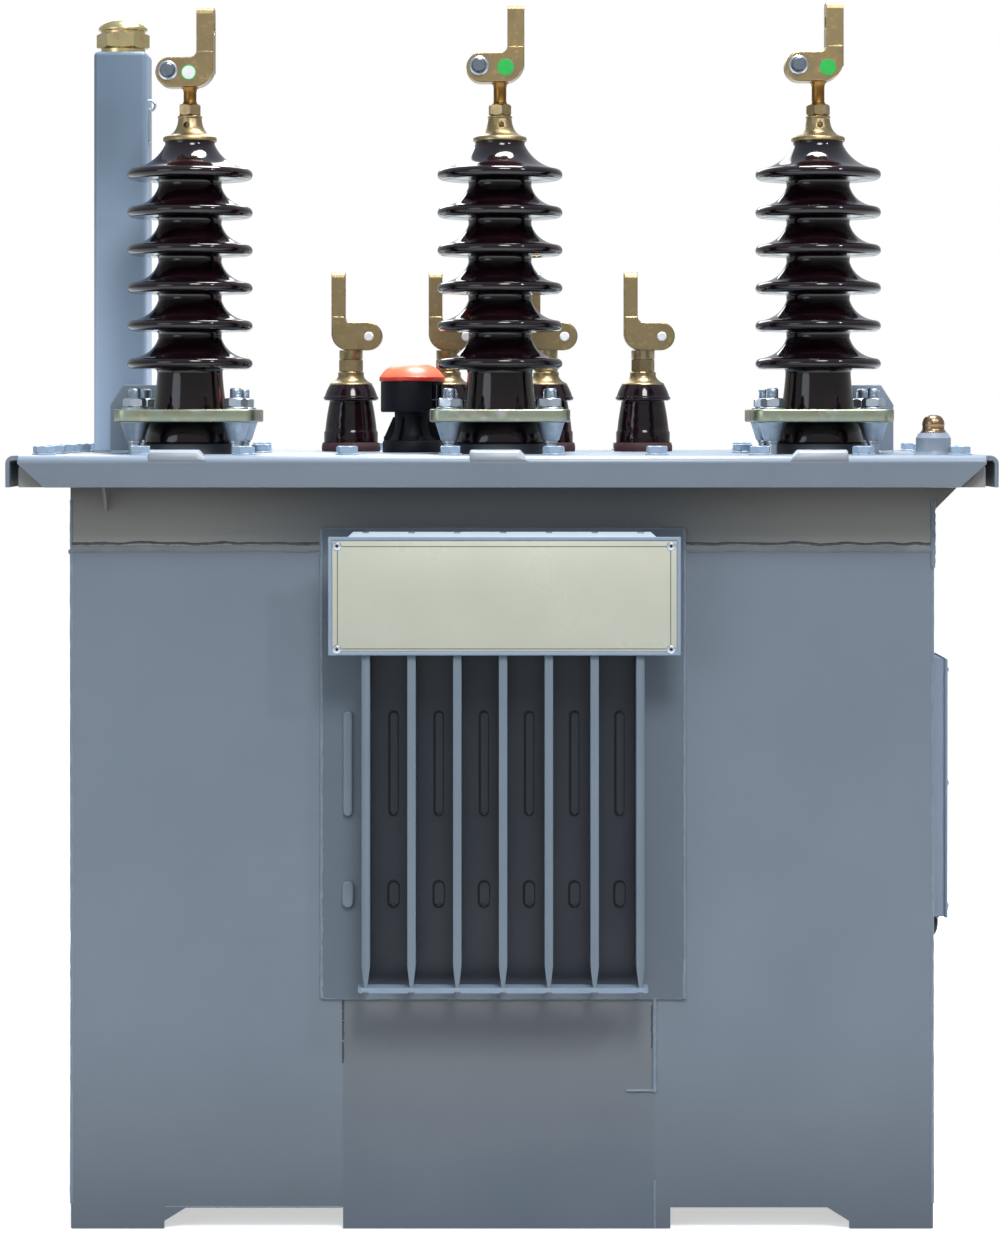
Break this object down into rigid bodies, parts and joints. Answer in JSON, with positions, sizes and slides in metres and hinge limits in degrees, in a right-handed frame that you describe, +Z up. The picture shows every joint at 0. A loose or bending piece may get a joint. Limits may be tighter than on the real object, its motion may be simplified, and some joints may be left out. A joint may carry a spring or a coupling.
{
  "type": "power transformer",
  "caption": "Oil-filled distribution transformer: finned steel tank with a bolted lid, tall ribbed porcelain bushings in front and short ones behind.",
  "frame": {"origin": "on the ground, under the middle of the tank", "axes": "+X to the right seen from the front, +Y to the rear, +Z up"},
  "size_m": [0.93, 0.55, 1.18],
  "materials": {
    "tank_paint": "satin grey-blue enamel",
    "galvanised_steel": "dull zinc",
    "passivated_steel": "yellow passivated, satin",
    "porcelain": "dark brown glaze, glossy",
    "brass": "dull cast brass",
    "rubber": "matte",
    "black_plastic": "satin",
    "orange_plastic": "glossy",
    "sign_plate": "satin"
  },
  "bodies": {
    "root": {"filler_cap": "brass", "filler_tube": "tank_paint", "floor_plate": "tank_paint", "front_collar": "tank_paint", "front_fin_bars": "tank_paint", "front_fin_panel": "tank_paint", "front_wall_left": "tank_paint", "front_wall_lower": "tank_paint", "front_wall_right": "tank_paint", "hv_bushing_1": "porcelain", "hv_bushing_2": "porcelain", "hv_bushing_3": "porcelain", "hv_caps": "brass", "hv_clamp_rings": "passivated_steel", "hv_clamp_studs": "galvanised_steel", "hv_seats": "tank_paint", "hv_terminals": "brass", "left_collar": "tank_paint", "left_wall": "tank_paint", "lid": "tank_paint", "lid_edge_tabs": "tank_paint", "lid_gasket": "rubber", "lifting_lugs": "tank_paint", "lv_bushing_1": "porcelain", "lv_bushing_2": "porcelain", "lv_bushing_3": "porcelain", "lv_bushing_4": "porcelain", "lv_caps": "brass", "lv_gaskets": "rubber", "lv_terminals": "brass", "nameplate_face": "sign_plate", "nameplate_frame": "tank_paint", "pocket_plug": "brass", "rear_collar": "tank_paint", "rear_fin_bars": "tank_paint", "rear_fin_panel": "tank_paint", "rear_wall_left": "tank_paint", "rear_wall_lower": "tank_paint", "rear_wall_right": "tank_paint", "relief_valve_body": "black_plastic", "relief_valve_cap": "orange_plastic", "right_collar": "tank_paint", "right_wall": "tank_paint", "rim_gussets": "tank_paint", "side_box": "tank_paint", "side_box_gland": "black_plastic", "thermometer_pocket": "tank_paint"}
  },
  "joints": []
}
